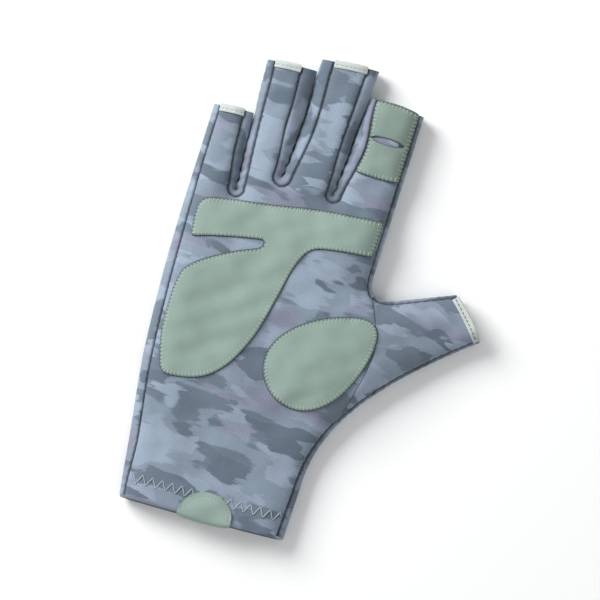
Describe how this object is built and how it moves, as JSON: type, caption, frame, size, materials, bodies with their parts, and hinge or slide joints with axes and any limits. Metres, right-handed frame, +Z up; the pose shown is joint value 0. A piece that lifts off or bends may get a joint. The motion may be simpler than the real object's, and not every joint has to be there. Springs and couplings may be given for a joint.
{
  "type": "fishing glove",
  "caption": "Right-hand short-fingered fishing glove of stretch camouflage cloth, with suede grip patches, a slit at the index finger and a pull tab at the cuff.",
  "frame": {"origin": "on the flat face that the glove lies on, under the middle of the palm, on the line through the middle of the cuff's edge", "axes": "+Y from the cuff to the finger ends, +X to the thumb's side, +Z up out of the palm"},
  "size_m": [0.1482, 0.2216, 0.0186],
  "materials": {
    "camouflage_cloth": "matt knit",
    "edge_tape": "matt woven tape",
    "grip_suede": "matt brushed suede"
  },
  "bodies": {
    "root": {"palm_panel": "camouflage_cloth", "back_panel": "camouflage_cloth", "thumb_palm_panel": "camouflage_cloth", "thumb_back_panel": "camouflage_cloth", "forchette_ring_little": "camouflage_cloth", "forchette_middle_ring": "camouflage_cloth", "forchette_index_middle": "camouflage_cloth", "cuff_hem": "camouflage_cloth", "little_tape_palm": "edge_tape", "little_tape_back": "edge_tape", "ring_tape_palm": "edge_tape", "ring_tape_back": "edge_tape", "middle_tape_palm": "edge_tape", "middle_tape_back": "edge_tape", "index_tape_back": "edge_tape", "thumb_tape_palm": "edge_tape", "thumb_tape_back": "edge_tape", "palm_patch": "grip_suede", "thumb_patch": "grip_suede", "index_patch": "grip_suede", "pull_tab": "grip_suede"}
  },
  "joints": []
}
